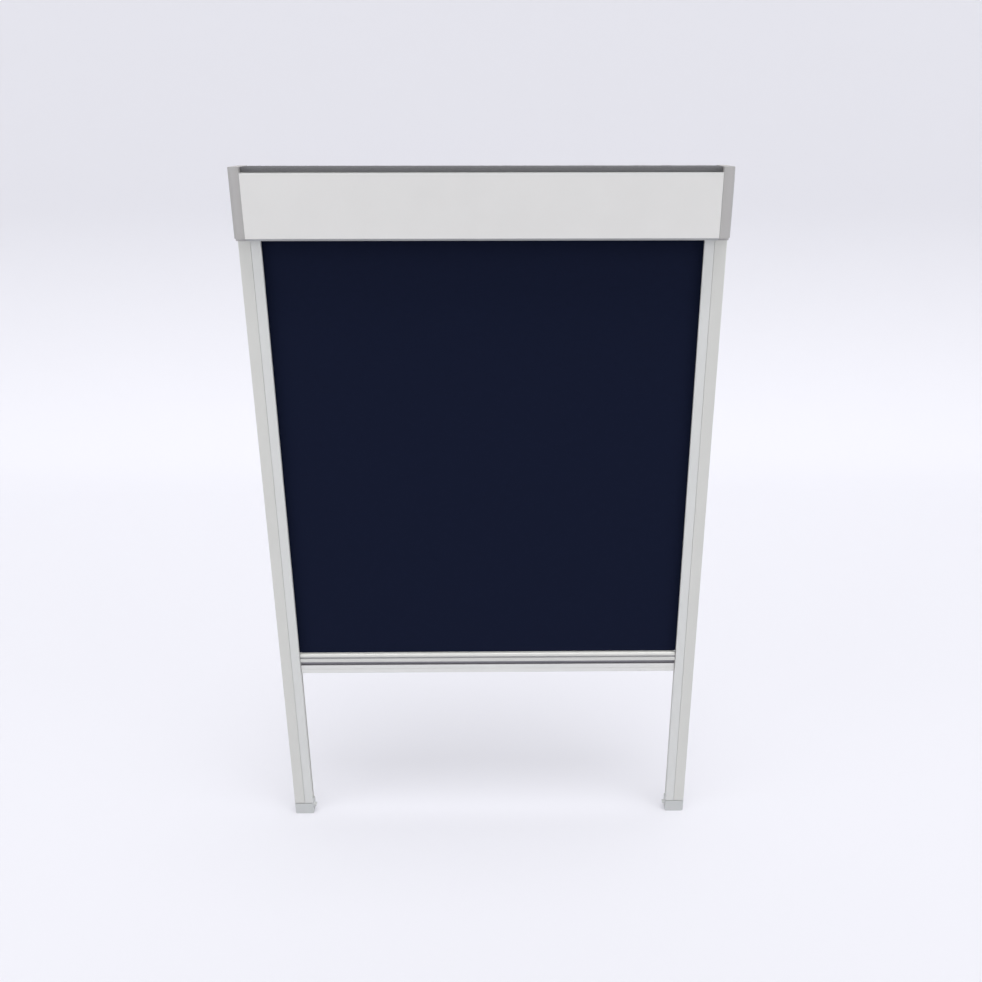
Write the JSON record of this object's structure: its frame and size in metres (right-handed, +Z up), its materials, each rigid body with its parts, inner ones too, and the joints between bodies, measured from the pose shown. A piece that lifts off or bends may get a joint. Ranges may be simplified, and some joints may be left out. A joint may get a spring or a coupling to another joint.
{
  "type": "skylight roller blind",
  "caption": "Blackout roller blind for a skylight: a head box with a sprung roller, side rails, and a dark fabric held taut by a grooved bottom bar that slides in the rails.",
  "frame": {"origin": "middle of the head box's back face, level with the middle of its front panel", "axes": "+X to the right seen from the room, +Y through the window towards the glass, +Z up along the window"},
  "size_m": [0.65, 0.048, 1.0294],
  "materials": {
    "aluminium": "extruded, pale silver anodised, satin",
    "cover_aluminium": "extruded, pale silver anodised, satin",
    "grey_plastic": "moulded, mid grey, fine texture",
    "pale_grey_plastic": "moulded, pale grey, satin",
    "white_plastic": "moulded, off-white",
    "dark_foam": "soft dark grey foam",
    "felt": "dense dark grey felt",
    "blackout_fabric": "coated navy blackout cloth with a fine plain weave",
    "steel": "bright zinc-plated",
    "spring_steel": "oiled spring wire"
  },
  "bodies": {
    "root": {"head_back_profile": "aluminium", "head_front_cover": "cover_aluminium", "top_light_seal": "dark_foam", "end_cap_left": "grey_plastic", "end_cap_right": "grey_plastic", "cap_screw_left_upper": "steel", "cap_screw_left_lower": "steel", "mounting_bracket_left": "steel", "rail_joiner_left": "pale_grey_plastic", "joiner_screw_left": "steel", "cap_screw_right_upper": "steel", "cap_screw_right_lower": "steel", "mounting_bracket_right": "steel", "rail_joiner_right": "pale_grey_plastic", "joiner_screw_right": "steel", "idle_pin": "steel", "spring_shaft": "steel", "spring_anchor": "white_plastic", "torsion_spring": "spring_steel", "rail_channel_left": "aluminium", "rail_cover_left": "cover_aluminium", "rail_foot_cap_left": "pale_grey_plastic", "foot_screw_left": "steel", "rail_channel_right": "aluminium", "rail_cover_right": "cover_aluminium", "rail_foot_cap_right": "pale_grey_plastic", "foot_screw_right": "steel"},
    "roller": {"roller_tube": "aluminium", "fabric_roll": "blackout_fabric", "idle_end_plug": "white_plastic", "spring_end_plug": "white_plastic", "spring_drive_plug": "white_plastic"},
    "bar": {"bar_grip_strip": "aluminium", "bar_front_profile": "aluminium", "bar_back_profile": "cover_aluminium", "fabric_spline": "white_plastic", "bar_end_guide_left": "grey_plastic", "bar_end_guide_right": "grey_plastic", "brake_pad_left": "felt", "brake_pad_right": "felt", "fabric_sheet": "blackout_fabric"}
  },
  "joints": [
    {"name": "bar_slide", "type": "slide", "parent": "root", "child": "bar", "axis": [0, 0, 1], "range_m": [-0.248, 0.629], "deforming": ["fabric_sheet"]},
    {"name": "roller_spin", "type": "hinge", "parent": "root", "child": "roller", "pos_m": [0, -0.02405, 0], "axis": [1, 0, 0], "range_deg": [-960, 2405]}
  ],
  "couplings": [
    {"joint": "roller_spin", "follows": "bar_slide", "rad_per_m": 66.445}
  ]
}
